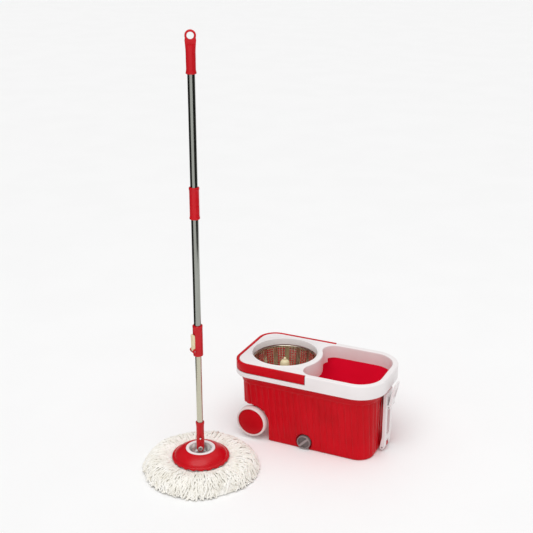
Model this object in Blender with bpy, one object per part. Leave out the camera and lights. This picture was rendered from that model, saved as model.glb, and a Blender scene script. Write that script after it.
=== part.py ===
"""Spin mop: a telescopic mop with a push-to-spin handle, beside its wheeled bucket with a steel spin basket.

Frame: metres, +Z up, +X towards the bucket's tow handle, -Y towards the drain plug.
The origin is the centre of the bucket's flat underside.
"""

import math

import bpy
from mathutils import Matrix, Vector

# Bucket
RIM_A = 0.2258          # half length of the white top shell
RIM_B = 0.1264          # half width of the white top shell
RIM_R_LEFT = 0.056
RIM_R_RIGHT = 0.084
RIM_TOP = 0.243
RIM_BOTTOM = 0.201
SKIN = 0.0025           # moulded wall
TUB_WALL = 0.0026
TUB_FLOOR = 0.003
TUB_TOP = 0.2026
TUB_FLARE_Z = 0.190
LEDGE_Z = 0.1965
LEDGE_INSET = 0.0038    # the tub's lip lies this far inside the shell's outline
TUB_TOP_A, TUB_TOP_B = 0.205, 0.113
TUB_LOW_A, TUB_LOW_B = 0.200, 0.107

# Wheels, under the raised left end of the tub
WHEEL_X, WHEEL_Z = -0.163, 0.0565
WHEEL_R = 0.047
HUB_R = 0.0403
WHEEL_FACE = 0.1215     # distance of each wheel's outer face from the middle
WHEEL_WIDTH = 0.0235
ARCH_R = 0.053
AXLE_R = 0.004
BRACKET_Y = 0.067
BRACKET_T = 0.006

# Spin basket and its spindle
BASKET_X = -0.107
HOLE_R = 0.096
BASKET_TOP, BASKET_FLOOR = 0.222, 0.150
BASKET_TOP_R, BASKET_LOW_R = 0.0948, 0.086
STEEL = 0.0009
PIN_R = 0.004
POST_TOP = 0.130

# Opening of the water compartment
OPEN_B = 0.1097
OPEN_RIGHT = 0.2091
OPEN_CORNER = 0.0675
DIVIDER_R = 0.113
DIVIDER_FILLET = 0.036
DIVIDER_BOTTOM = 0.190

# Bail handle, folded flush round the left half of the rim
BAIL_PIN_X, BAIL_PIN_Z = 0.0025, 0.2385
BAIL_LOW, BAIL_HIGH = 0.2166, 0.2434
BAIL_END_X = 0.0080
BAIL_PIN_R = 0.0025
BAIL_INNER_INSET = 0.0082
REBATE_INSET = 0.0088
REBATE_END_X = 0.0100
REBATE_Z = 0.2150

# Drain plug
DRAIN_X, DRAIN_Z = 0.002, 0.0225
DRAIN_POCKET_R = 0.026
DRAIN_CAP_R = 0.0203
DRAIN_BACK_Y = -0.0965  # back wall of the pocket

# Folding tow handle on the right end
TOW_PIN_X, TOW_PIN_Z = 0.2135, 0.0145
TOW_HALF_W = 0.029
TOW_LUG_HALF = 0.009
TOW_TOP = 0.186
GRIP_PIN_X, GRIP_PIN_Z = 0.2265, 0.142
GRIP_HALF_W = 0.0150
GRIP_LENGTH = 0.070
GRIP_LEAN = math.radians(12)

# Mop
MOP_X, MOP_Y = -0.2183, -0.3271
MOP_TURN = math.radians(29)
LEVER_TURN = math.radians(25)
PIVOT_Z = 0.070
TUBE_R = 0.0096         # outer (upper) tubes
INNER_R = 0.0085        # inner (lower) tube
TUBE_WALL = 0.0008
LOWER_TUBE = (0.092, 0.545)
MIDDLE_TUBE = (0.418, 0.7765)
UPPER_TUBE = (0.7770, 1.155)
CLAMP = (0.350, 0.440)
CLAMP_R = 0.0134
TWIST_LEAD = 0.070      # one turn of the drive rod
ROD = (0.505, 0.761)
LEVER_X, LEVER_Z = -0.0140, 0.367

TUBE_STEPS = 20
DISC_STEPS = 32
CORNER_STEPS = 5


# ---------------------------------------------------------------- helpers

def clear_scene():
    for old in list(bpy.data.objects):
        bpy.data.objects.remove(old, do_unlink=True)


def material(name, color, roughness, metallic=0.0):
    made = bpy.data.materials.new(name)
    made.use_nodes = True
    shader = made.node_tree.nodes["Principled BSDF"]
    shader.inputs["Base Color"].default_value = (*color, 1.0)
    shader.inputs["Roughness"].default_value = roughness
    shader.inputs["Metallic"].default_value = metallic
    made.diffuse_color = (*color, 1.0)
    return made


def object_of(name, points, faces, finish=None):
    mesh = bpy.data.meshes.new(name)
    mesh.from_pydata([tuple(p) for p in points], [], faces)
    mesh.update()
    made = bpy.data.objects.new(name, mesh)
    bpy.context.scene.collection.objects.link(made)
    if finish:
        mesh.materials.append(finish)
    return made


def signed_area(outline):
    total = 0.0
    for (x0, y0), (x1, y1) in zip(outline, outline[1:] + outline[:1]):
        total += x0 * y1 - x1 * y0
    return total / 2


def turned(name, profile, finish=None, steps=TUBE_STEPS):
    """A closed (radius, z) profile turned about Z. Points on the axis have radius 0."""
    if signed_area(profile) < 0:
        profile = profile[::-1]
    points, rings = [], []
    for radius, z in profile:
        if radius < 1e-7:
            rings.append([len(points)] * steps)
            points.append((0.0, 0.0, z))
            continue
        rings.append(list(range(len(points), len(points) + steps)))
        for i in range(steps):
            angle = 2 * math.pi * i / steps
            points.append((radius * math.cos(angle), radius * math.sin(angle), z))
    faces = []
    for low, high in zip(rings, rings[1:] + rings[:1]):
        for i in range(steps):
            j = (i + 1) % steps
            corners = [low[i], low[j], high[j], high[i]]
            face = [c for k, c in enumerate(corners) if c not in corners[:k]]
            if len(face) > 2:
                faces.append(face)
    return object_of(name, points, faces, finish)


def lofted(name, loops, finish=None):
    """Loops of equally many 3-D points, counter-clockwise seen from above, listed from the bottom up."""
    count = len(loops[0])
    points = [p for loop in loops for p in loop]
    faces = [tuple(reversed(range(count)))]
    for level in range(len(loops) - 1):
        base = level * count
        for i in range(count):
            j = (i + 1) % count
            faces.append((base + i, base + j, base + count + j, base + count + i))
    top = (len(loops) - 1) * count
    faces.append(tuple(range(top, top + count)))
    return object_of(name, points, faces, finish)


def prism(name, outline, low, high, finish=None):
    """An (x, y) outline extruded from z = low to z = high."""
    if signed_area(outline) < 0:
        outline = outline[::-1]
    return lofted(name, [[(x, y, z) for x, y in outline] for z in (low, high)], finish)


def side_prism(name, outline, low, high, finish=None):
    """An (x, z) outline extruded from y = low to y = high."""
    if signed_area(outline) < 0:
        outline = outline[::-1]
    loops = [[(x, y, z) for x, z in outline] for y in (high, low)]
    return lofted(name, loops, finish)


def box(name, low, high, finish=None):
    outline = [(low[0], low[1]), (high[0], low[1]), (high[0], high[1]), (low[0], high[1])]
    return prism(name, outline, low[2], high[2], finish)


def along_y(obj, y, x=0.0, z=0.0):
    """Turns a piece made about Z so that its +Z points along +Y, with its zero at (x, y, z)."""
    turn = Matrix.Translation((x, y, z)) @ Matrix.Rotation(-math.pi / 2, 4, "X")
    obj.data.transform(turn)
    return obj


def cylinder_y(name, radius, x, z, low, high, finish=None, steps=TUBE_STEPS):
    profile = [(0, 0), (radius, 0), (radius, high - low), (0, high - low)]
    return along_y(turned(name, profile, finish, steps), low, x, z)


def boolean(obj, other, operation):
    """Applies a Boolean of other to obj, and removes other."""
    modifier = obj.modifiers.new("cut", "BOOLEAN")
    modifier.operation = operation
    modifier.solver = "EXACT"
    modifier.object = other
    graph = bpy.context.evaluated_depsgraph_get()
    mesh = bpy.data.meshes.new_from_object(obj.evaluated_get(graph))
    obj.modifiers.clear()
    obj.data = mesh
    bpy.data.objects.remove(other, do_unlink=True)
    return obj


def cut(obj, *others):
    for other in others:
        boolean(obj, other, "DIFFERENCE")
    return obj


def join(obj, *others):
    for other in others:
        boolean(obj, other, "UNION")
    return obj


def keep_inside(obj, other):
    return boolean(obj, other, "INTERSECT")


def arc(center, radius, start, end, steps):
    """(a, b) points on a circle, from start to end in degrees, both ends included."""
    points = []
    for i in range(steps + 1):
        angle = math.radians(start + (end - start) * i / steps)
        points.append((center[0] + radius * math.cos(angle), center[1] + radius * math.sin(angle)))
    return points


def capsule(a, b, radius, steps=8):
    """Outline of a bar with round ends, from point a to point b."""
    heading = math.degrees(math.atan2(b[1] - a[1], b[0] - a[0]))
    return (arc(b, radius, heading - 90, heading + 90, steps)
            + arc(a, radius, heading + 90, heading + 270, steps))


def empty(name, location, turn=0.0, parent=None):
    made = bpy.data.objects.new(name, None)
    made.location = location
    made.rotation_euler = (0, 0, turn)
    made.parent = parent
    made.empty_display_size = 0.02
    bpy.context.scene.collection.objects.link(made)
    return made


def place(obj, pivot=(0, 0, 0), parent=None, sharp=35):
    """Puts the piece's origin on pivot without moving its shape, and shades it."""
    obj.data.transform(Matrix.Translation(-Vector(pivot)))
    obj.location = pivot
    obj.parent = parent
    obj.data.shade_smooth()
    obj.data.set_sharp_from_angle(angle=math.radians(sharp))
    return obj


def rounded_rectangle(half_length, half_width, left_radius, right_radius):
    corners = ((1, 1, right_radius, 0), (-1, 1, left_radius, 90),
               (-1, -1, left_radius, 180), (1, -1, right_radius, 270))
    points = []
    for side_x, side_y, radius, start in corners:
        center = (side_x * (half_length - radius), side_y * (half_width - radius))
        points += arc(center, radius, start, start + 90, CORNER_STEPS)
    return points


def rim_outline(inset):
    return rounded_rectangle(RIM_A - inset, RIM_B - inset, RIM_R_LEFT - inset, RIM_R_RIGHT - inset)


# ---------------------------------------------------------------- bucket

def tub_loops(inset, levels):
    """Loops of the tub's wall. Each level is (z, share of the way from the low to the top outline)."""
    loops = []
    for z, share, extra in levels:
        half_length = TUB_LOW_A + (TUB_TOP_A - TUB_LOW_A) * share - inset - extra
        half_width = TUB_LOW_B + (TUB_TOP_B - TUB_LOW_B) * share - inset - extra
        left = 0.034 + 0.008 * share - inset - extra
        right = 0.048 + 0.018 * share - inset - extra
        outline = rounded_rectangle(half_length, half_width, left, right)
        loops.append([(x, y, z) for x, y in outline])
    return loops


def arch_outline(grow):
    """Side view of the space left out of the tub for the wheels."""
    radius = ARCH_R + grow
    right = WHEEL_X + radius
    curve = arc((WHEEL_X, WHEEL_Z), radius, 0, 90, 10)
    return [(-0.30, -0.02), (right, -0.02)] + curve + [(-0.30, WHEEL_Z + radius)]


def make_tub(red):
    ledge = [(x, y) for x, y in rim_outline(LEDGE_INSET)]
    loops = tub_loops(0, [(0.0, 0, 0.004), (0.005, 0, 0), (TUB_FLARE_Z, 1, 0)])
    loops += [[(x, y, z) for x, y in ledge] for z in (LEDGE_Z, TUB_TOP)]
    tub = lofted("tub", loops, red)
    cut(tub, side_prism("arch", arch_outline(0), -0.2, 0.2))
    pocket = cylinder_y("pocket", DRAIN_POCKET_R, DRAIN_X, DRAIN_Z, -0.14, DRAIN_BACK_Y)
    cut(tub, pocket)
    cavity = lofted("cavity", tub_loops(TUB_WALL, [(TUB_FLOOR, 0.02, 0), (TUB_TOP + 0.01, 1.02, 0)]))
    cut(cavity, side_prism("arch", arch_outline(TUB_WALL), -0.2, 0.2))
    back = DRAIN_BACK_Y + TUB_WALL
    cut(cavity, cylinder_y("pocket", DRAIN_POCKET_R + TUB_WALL, DRAIN_X, DRAIN_Z, -0.14, back))
    cut(tub, cavity)
    boss = cylinder_y("boss", 0.0150, DRAIN_X, DRAIN_Z, DRAIN_BACK_Y + 0.001, -0.086)
    join(tub, boss)
    cut(tub, cylinder_y("bore", 0.0111, DRAIN_X, DRAIN_Z, -0.11, -0.08, steps=22))
    for side in (-1, 1):
        middle = side * BRACKET_Y
        span = (middle - BRACKET_T / 2, middle + BRACKET_T / 2)
        roof = arc((WHEEL_X, WHEEL_Z), ARCH_R + TUB_WALL / 2, 72, 90, 4)
        foot = arc((WHEEL_X, WHEEL_Z), 0.0115, 180, 360, 8)
        left = [(WHEEL_X - 0.0165, WHEEL_Z + ARCH_R + TUB_WALL / 2)]
        join(tub, side_prism("bracket", foot + roof + left, *span))
    cut(tub, cylinder_y("axle_bore", AXLE_R + 0.0003, WHEEL_X, WHEEL_Z, -0.1, 0.1))
    lug = capsule((0.1985, TOW_PIN_Z), (TOW_PIN_X, TOW_PIN_Z), 0.0065)
    join(tub, side_prism("lug", lug, -TOW_LUG_HALF, TOW_LUG_HALF))
    cut(tub, cylinder_y("pin_bore", 0.0028, TOW_PIN_X, TOW_PIN_Z, -0.05, 0.05, steps=16))
    return place(tub)


def opening_outline(grow):
    """Outline of the water compartment's opening, grown by the given amount."""
    fillet_b = OPEN_B - DIVIDER_FILLET
    reach = DIVIDER_R + DIVIDER_FILLET
    fillet_x = BASKET_X + math.sqrt(reach ** 2 - fillet_b ** 2)
    meet = math.degrees(math.atan2(fillet_b, fillet_x - BASKET_X))
    fillet = DIVIDER_FILLET + grow
    corner = OPEN_CORNER + grow
    right = OPEN_RIGHT - OPEN_CORNER
    front = OPEN_B - OPEN_CORNER
    return (arc((right, -front), corner, -90, 0, 8)
            + arc((right, front), corner, 0, 90, 8)
            + arc((fillet_x, fillet_b), fillet, 90, 180 + meet, 8)
            + arc((BASKET_X, 0), DIVIDER_R - grow, meet, -meet, 10)[1:-1]
            + arc((fillet_x, -fillet_b), fillet, 180 - meet, 270, 8))


def make_top_shell(white):
    shell = prism("top_shell", rim_outline(0), RIM_BOTTOM, RIM_TOP, white)
    cut(shell, prism("hollow_low", rim_outline(SKIN), RIM_BOTTOM - 0.01, 0.2128))
    cut(shell, prism("hollow_high", rim_outline(REBATE_INSET + 0.0024), 0.2100, RIM_TOP - SKIN))
    rebate = prism("rebate", rim_outline(-0.003), REBATE_Z, RIM_TOP + 0.01)
    cut(rebate, prism("core", rim_outline(REBATE_INSET), REBATE_Z - 0.01, RIM_TOP + 0.02))
    cut(rebate, box("right_half", (REBATE_END_X, -0.2, 0.2), (0.3, 0.2, 0.3)))
    cut(shell, rebate)
    join(shell, prism("collar", opening_outline(SKIN), TUB_TOP + 0.0004, RIM_TOP - 0.001))
    skirt = prism("skirt", opening_outline(SKIN), DIVIDER_BOTTOM, 0.210)
    keep_inside(skirt, box("near_divider", (-0.08, -0.094, 0.18), (0.022, 0.094, 0.22)))
    join(shell, skirt)
    ring = turned("ring", [(0, 0.225), (HOLE_R + SKIN, 0.225), (HOLE_R + SKIN, 0.2435),
                           (HOLE_R + 0.0015, 0.2455), (0, 0.2455)], steps=DISC_STEPS)
    ring.data.transform(Matrix.Translation((BASKET_X, 0, 0)))
    join(shell, ring)
    hole = turned("hole", [(0, 0.15), (HOLE_R, 0.15), (HOLE_R, 0.3), (0, 0.3)], steps=DISC_STEPS)
    hole.data.transform(Matrix.Translation((BASKET_X, 0, 0)))
    cut(shell, prism("opening", opening_outline(0), 0.15, 0.3), hole)
    dimple = turned("dimple", [(0, 0.2418), (0.015, 0.2418), (0.015, 0.26), (0, 0.26)])
    dimple.data.transform(Matrix.Translation((-0.016, -0.076, 0)))
    cut(shell, dimple)
    for side in (-1, 1):
        low, high = sorted((side * 0.1105, side * 0.1225))
        cut(shell, cylinder_y("bore", BAIL_PIN_R + 0.0003, BAIL_PIN_X, BAIL_PIN_Z, low, high, steps=16))
    return place(shell)


def make_bail(red, steel):
    """The carrying handle, with its two pivot pins, which stay in the shell."""
    bail = prism("bail_handle", rim_outline(0.0), BAIL_LOW, BAIL_HIGH, red)
    cut(bail, prism("inside", rim_outline(BAIL_INNER_INSET), BAIL_LOW - 0.01, BAIL_HIGH + 0.01))
    cut(bail, box("right_half", (BAIL_END_X, -0.2, 0.19), (0.3, 0.2, 0.27)))
    pivot = (BAIL_PIN_X, 0, BAIL_PIN_Z)
    bore = BAIL_PIN_R + 0.0003
    for side, name in ((-1, "bail_pin_near"), (1, "bail_pin_far")):
        low, high = sorted((side * 0.1110, side * (RIM_B - 0.0025)))
        blind = sorted((side * 0.1110, side * (RIM_B - 0.0022)))
        cut(bail, cylinder_y("bore", bore, BAIL_PIN_X, BAIL_PIN_Z, *blind, steps=16))
        place(cylinder_y(name, BAIL_PIN_R, BAIL_PIN_X, BAIL_PIN_Z, low, high, steel, steps=16), pivot)
    return place(bail, pivot)


def make_wheels(white, red, steel, grey):
    axle_half = WHEEL_FACE - 0.0085
    axle = cylinder_y("wheel_axle", AXLE_R, WHEEL_X, WHEEL_Z, -axle_half, axle_half, steel, steps=16)
    place(axle, (WHEEL_X, 0, WHEEL_Z))
    bore = AXLE_R + 0.0003
    for side, word in ((-1, "near"), (1, "far")):
        # profiles run inwards from the wheel's outer face
        tyre = [(HUB_R + 0.0003, 0.0015), (0.0435, 0.0), (0.0462, 0.0025), (WHEEL_R, 0.006),
                (WHEEL_R, 0.0185), (0.0455, WHEEL_WIDTH - 0.001), (0.0425, WHEEL_WIDTH),
                (HUB_R + 0.0003, WHEEL_WIDTH - 0.001)]
        hub = [(0, -0.0005), (0.0200, 0.0002), (0.0340, 0.0020), (HUB_R, 0.0045),
               (HUB_R, 0.0200), (0.0355, 0.0200), (0.0355, 0.0080), (0.0100, 0.0080),
               (0.0100, 0.0240), (bore, 0.0240), (bore, 0.0080), (0, 0.0080)]
        clip = [(bore, 0.0245), (0.0080, 0.0245), (0.0080, 0.0275), (bore, 0.0275)]
        for name, profile, finish in (("tyre_" + word, tyre, white), ("hub_cap_" + word, hub, red),
                                      ("axle_clip_" + word, clip, grey)):
            flipped = [(r, side * (WHEEL_FACE - depth)) for r, depth in profile]
            piece = turned(name, flipped, finish, steps=24 if "clip" not in name else 16)
            piece.data.transform(Matrix.Rotation(-math.pi / 2, 4, "X"))
            place(piece)
            piece.location = (WHEEL_X, 0, WHEEL_Z)


def make_basket(steel, cream, grey, red, dark_steel):
    """The spin basket on its hub, and the post, pin and bearing it turns on."""
    center = (BASKET_X, 0, 0)
    shift = Matrix.Translation(center)
    top, floor = BASKET_TOP, BASKET_FLOOR
    profile = [(0.0140, floor), (BASKET_LOW_R - 0.004, floor), (BASKET_LOW_R, floor + 0.004),
               (BASKET_TOP_R, top - 0.003), (0.0972, top - 0.003), (0.0972, top),
               (BASKET_TOP_R - STEEL, top), (BASKET_LOW_R - STEEL, floor + 0.0045),
               (BASKET_LOW_R - 0.0045, floor + STEEL), (0.0140, floor + STEEL)]
    basket = turned("spin_basket", profile, steel, steps=DISC_STEPS)
    for i in range(12):
        angle = 2 * math.pi * (i + 0.5) / 12
        slot = box("slot", (0.070, -0.0035, floor + 0.016), (0.110, 0.0035, top - 0.014))
        slot.data.transform(Matrix.Rotation(angle, 4, "Z"))
        cut(basket, slot)
    for i in range(6):
        angle = 2 * math.pi * i / 6
        drain = box("drain", (0.040, -0.003, floor - 0.01), (0.066, 0.003, floor + 0.01))
        drain.data.transform(Matrix.Rotation(angle, 4, "Z"))
        cut(basket, drain)
    basket.data.transform(shift)
    place(basket, center)

    hub_base = POST_TOP + 0.0090
    hub = turned("basket_hub", [
        (PIN_R + 0.0004, hub_base), (0.0125, hub_base), (0.0125, floor - 0.001), (0.0136, floor - 0.001),
        (0.0136, floor + 0.0012), (0.0260, floor + 0.0012), (0.0260, floor + 0.004), (0.0205, floor + 0.010),
        (0.0172, floor + 0.030), (0.0140, floor + 0.055), (0.0118, floor + 0.0640), (0.0080, floor + 0.0675),
        (0.0046, floor + 0.0690), (0.0043, floor + 0.0725), (0.0027, floor + 0.0756), (0, floor + 0.0763),
        (0, floor + 0.022), (PIN_R + 0.0004, floor + 0.022),
    ], cream, steps=20)
    hub.data.transform(shift)
    place(hub, center)
    nut = turned("hub_nut", [(0.0129, floor - 0.0070), (0.0195, floor - 0.0070), (0.0210, floor - 0.0050),
                             (0.0210, floor - 0.0014), (0.0129, floor - 0.0014)], grey, steps=20)
    nut.data.transform(shift)
    place(nut, center)
    pin = turned("spindle_pin", [(0, 0.104), (PIN_R, 0.104), (PIN_R, floor + 0.021), (0, floor + 0.021)],
                 dark_steel, steps=20)
    pin.data.transform(shift)
    place(pin, center)
    bearing = turned("spin_bearing", [(PIN_R + 0.0004, POST_TOP + 0.0004), (0.0110, POST_TOP + 0.0004),
                                      (0.0110, POST_TOP + 0.0060), (0.0085, POST_TOP + 0.0084),
                                      (PIN_R + 0.0004, POST_TOP + 0.0084)], dark_steel, steps=20)
    bearing.data.transform(shift)
    place(bearing, center)

    post_gap = 0.0004
    wall = arc((WHEEL_X, WHEEL_Z), ARCH_R + TUB_WALL + post_gap, 0, 44, 6)
    foot_z = TUB_FLOOR + post_gap
    outline = [(-0.080, foot_z), (WHEEL_X + ARCH_R + TUB_WALL + post_gap, foot_z)] + wall
    outline += [(BASKET_X - 0.0135, POST_TOP), (BASKET_X + 0.0135, POST_TOP), (-0.090, 0.095)]
    post = side_prism("spindle_post", outline, -0.0135, 0.0135, red)
    bore = turned("bore", [(0, 0.103), (PIN_R + 0.0004, 0.103), (PIN_R + 0.0004, 0.2), (0, 0.2)], steps=20)
    bore.data.transform(shift)
    cut(post, bore)
    place(post)


def make_drain(grey, rubber):
    face, back = -0.1125, DRAIN_BACK_Y - 0.0030
    rim = DRAIN_CAP_R - 0.0028
    stem = 0.0104
    plug = along_y(turned("drain_plug", [(0, face + 0.0045), (rim, face + 0.0045), (rim, face),
                                         (DRAIN_CAP_R, face), (DRAIN_CAP_R, back), (stem, back),
                                         (stem, -0.0840), (0, -0.0840)], grey), 0, DRAIN_X, DRAIN_Z)
    bar = box("bar", (-0.0182, face + 0.0006, -0.0032), (0.0182, face + 0.006, 0.0032))
    bar.data.transform(Matrix.Translation((DRAIN_X, 0, DRAIN_Z)) @ Matrix.Rotation(-math.pi / 4, 4, "Y"))
    join(plug, bar)
    place(plug, (DRAIN_X, 0, DRAIN_Z))
    profile = [(0.0109, 0), (0.0150, 0), (0.0160, 0.0011), (0.0150, 0.0022), (0.0109, 0.0022)]
    seal = along_y(turned("drain_seal", profile, rubber), back + 0.0004, DRAIN_X, DRAIN_Z)
    place(seal, (DRAIN_X, 0, DRAIN_Z))


def make_tow_handle(white, steel):
    pin_at = (TOW_PIN_X, 0, TOW_PIN_Z)
    grip_at = (GRIP_PIN_X, 0, GRIP_PIN_Z)
    half = 0.004
    knee_x, knee_z = 0.2168, 0.046
    outline = (arc((TOW_PIN_X, TOW_PIN_Z), 0.0065, 165, 355, 10)
               + [(knee_x + half, knee_z), (knee_x + half, TOW_TOP - 0.003), (knee_x + half - 0.003, TOW_TOP)]
               + [(knee_x - half, TOW_TOP), (knee_x - half, knee_z + 0.004)])
    frame = side_prism("tow_frame", outline, -TOW_HALF_W, TOW_HALF_W, white)
    slot = box("slot", (0.19, -0.012, 0.048), (0.24, 0.012, 0.132))
    notch = TOW_LUG_HALF + 0.0005
    cut(frame, slot, box("notch", (0.19, -notch, -0.01), (0.24, notch, 0.030)))
    for side in (-1, 1):
        low, high = sorted((side * (GRIP_HALF_W + 0.0005), side * (GRIP_HALF_W + 0.0055)))
        ear = capsule((knee_x, GRIP_PIN_Z), (GRIP_PIN_X, GRIP_PIN_Z), 0.0050)
        join(frame, side_prism("ear", ear, low, high))
    cut(frame, cylinder_y("bore", 0.0028, TOW_PIN_X, TOW_PIN_Z, -0.05, 0.05, steps=16))
    cut(frame, cylinder_y("bore", 0.0023, GRIP_PIN_X, GRIP_PIN_Z, -0.05, 0.05, steps=16))
    place(frame, pin_at)
    place(cylinder_y("tow_pin", 0.0025, TOW_PIN_X, TOW_PIN_Z, -0.0288, 0.0288, steel, steps=16), pin_at)
    place(cylinder_y("grip_pin", 0.0020, GRIP_PIN_X, GRIP_PIN_Z, -0.0215, 0.0215, steel, steps=16), grip_at)

    rise = (math.sin(GRIP_LEAN), math.cos(GRIP_LEAN))
    end = (GRIP_PIN_X + GRIP_LENGTH * rise[0], GRIP_PIN_Z + GRIP_LENGTH * rise[1])
    grip = side_prism("tow_grip", capsule((GRIP_PIN_X, GRIP_PIN_Z), end, 0.0036), -GRIP_HALF_W, GRIP_HALF_W,
                      white)
    finger = box("finger", (-0.03, -0.0090, 0.028), (0.03, 0.0090, 0.057))
    finger.data.transform(Matrix.Translation(grip_at) @ Matrix.Rotation(GRIP_LEAN, 4, "Y"))
    cut(grip, finger)
    cut(grip, cylinder_y("bore", 0.0023, GRIP_PIN_X, GRIP_PIN_Z, -0.05, 0.05, steps=16))
    place(grip, grip_at)


# ---------------------------------------------------------------- mop

def make_mop_head(mop, red, white, chrome, yarn_white, grey):
    """Everything that stays on the floor when the handle tilts."""
    plate = turned("mop_plate", [
        (0.0412, 0.0665), (0.0580, 0.0610), (0.0725, 0.0500), (0.0760, 0.0480), (0.0800, 0.0440),
        (0.0800, 0.0385), (0.0778, 0.0385), (0.0778, 0.0430), (0.0740, 0.0462), (0.0710, 0.0475),
        (0.0570, 0.0582), (0.0412, 0.0636),
    ], red, steps=DISC_STEPS)
    place(plate, parent=mop)
    dish_ring = turned("dish_ring", [(0.0312, 0.0610), (0.0408, 0.0610), (0.0408, 0.0672), (0.0380, 0.0684),
                                     (0.0345, 0.0682), (0.0312, 0.0664)], white, steps=DISC_STEPS)
    place(dish_ring, parent=mop)
    dish = turned("center_dish", [
        (0.0135, 0.0470), (0.0200, 0.0490), (0.0265, 0.0548), (0.0300, 0.0625), (0.0309, 0.0668),
        (0.0298, 0.0668), (0.0288, 0.0628), (0.0257, 0.0557), (0.0196, 0.0500), (0.0135, 0.0481),
    ], chrome, steps=24)
    place(dish, parent=mop)
    base = turned("pivot_yoke", [(0, 0.0345), (0.0560, 0.0345), (0.0560, 0.0372), (0.0480, 0.0372),
                                 (0.0480, 0.0604), (0.0300, 0.0604), (0.0300, 0.0575), (0.0452, 0.0575),
                                 (0.0452, 0.0372), (0.0130, 0.0372), (0.0125, 0.0520), (0, 0.0520)],
                  grey, steps=24)
    tongue = capsule((0, 0.045), (0, PIVOT_Z), 0.0078)
    join(base, side_prism("tongue", tongue, -0.0042, 0.0042))
    cut(base, cylinder_y("bore", 0.0033, 0, PIVOT_Z, -0.02, 0.02, steps=20))
    place(base, (0, 0, PIVOT_Z), mop)
    ring = turned("yarn_ring", [(0.0566, 0.0235), (0.0740, 0.0235), (0.0765, 0.0260), (0.0765, 0.0345),
                                (0.0700, 0.0380), (0.0566, 0.0380)], white, steps=DISC_STEPS)
    place(ring, parent=mop)
    yarn = turned("yarn", [
        (0.0560, 0.0), (0.1580, 0.0), (0.1655, 0.0090), (0.1630, 0.0230), (0.1510, 0.0365),
        (0.1270, 0.0460), (0.1030, 0.0455), (0.0860, 0.0400), (0.0805, 0.0365), (0.0775, 0.0340),
        (0.0770, 0.0225), (0.0560, 0.0225),
    ], yarn_white, steps=DISC_STEPS)
    place(yarn, parent=mop)


def make_lower_handle(mop, red, steel, chrome, white, nylon):
    """Fork socket, inner tube and drive nut, which tilt together on the pivot pin."""
    pivot = (0, 0, PIVOT_Z)
    socket = turned("mop_socket", [(0, 0.0840), (0.0110, 0.0840), (0.0106, 0.1300), (0.0110, 0.1400),
                                   (0.0118, 0.1420), (0.0118, 0.1480), (0, 0.1480)], red)
    fork = box("fork", (-0.0108, -0.0108, PIVOT_Z), (0.0108, 0.0108, 0.090))
    join(fork, cylinder_y("round", 0.0108, 0, PIVOT_Z, -0.0108, 0.0108))
    barrel = turned("barrel", [(0, 0.05), (0.0116, 0.05), (0.0116, 0.0900), (0, 0.0900)])
    keep_inside(fork, barrel)
    join(socket, fork)
    cut(socket, box("gap", (-0.02, -0.0050, 0.05), (0.02, 0.0050, 0.0835)))
    cut(socket, turned("bore", [(0, 0.0915), (INNER_R + 0.0003, 0.0915), (INNER_R + 0.0003, 0.2), (0, 0.2)]))
    cut(socket, cylinder_y("pin_bore", 0.0033, 0, PIVOT_Z, -0.02, 0.02, steps=20))
    cut(socket, cylinder_y("rivet_bore", 0.0026, 0, 0.1005, -0.02, -0.005, steps=16))
    place(socket, pivot, mop)
    rivet = cylinder_y("socket_rivet", 0.0023, 0, 0.1005, -0.0120, -0.0089, white, steps=16)
    place(rivet, pivot, mop)
    pin = turned("pivot_pin", [(0.0015, -0.0136), (0.0050, -0.0136), (0.0056, -0.0128), (0.0056, -0.0116),
                               (0.0030, -0.0116), (0.0030, 0.0116), (0.0052, 0.0116), (0.0052, 0.0130),
                               (0.0015, 0.0130)], chrome, steps=24)
    pin.data.transform(Matrix.Translation(pivot) @ Matrix.Rotation(-math.pi / 2, 4, "X"))
    place(pin, pivot, mop)
    tube = turned("lower_tube", tube_profile(INNER_R, *LOWER_TUBE), steel)
    place(tube, pivot, mop)
    top = LOWER_TUBE[1]
    nut = turned("drive_nut", [(0, top - 0.012), (0.0074, top - 0.012), (0.0074, top + 0.0004),
                               (INNER_R, top + 0.0004), (INNER_R, top + 0.003), (0, top + 0.003)], nylon)
    cut(nut, twisted_strip("slot", top - 0.020, top + 0.010, 0.0050, 0.0023))
    place(nut, pivot, mop)


def tube_profile(radius, low, high):
    return [(radius - TUBE_WALL, low), (radius, low), (radius, high), (radius - TUBE_WALL, high)]


def twisted_strip(name, low, high, half_width, half_thick, finish=None):
    """A flat strip twisted about Z at one turn per TWIST_LEAD, with its angle set by height alone."""
    step = TWIST_LEAD / 24
    levels = [k * step for k in range(math.ceil(low / step), math.floor(high / step) + 1)]
    levels = [low] + [z for z in levels if low + step / 3 < z < high - step / 3] + [high]
    loops = []
    for z in levels:
        angle = 2 * math.pi * z / TWIST_LEAD
        c, s = math.cos(angle), math.sin(angle)
        corners = [(-half_width, -half_thick), (half_width, -half_thick),
                   (half_width, half_thick), (-half_width, half_thick)]
        loops.append([(x * c - y * s, x * s + y * c, z) for x, y in corners])
    return lofted(name, loops, finish)


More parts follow.
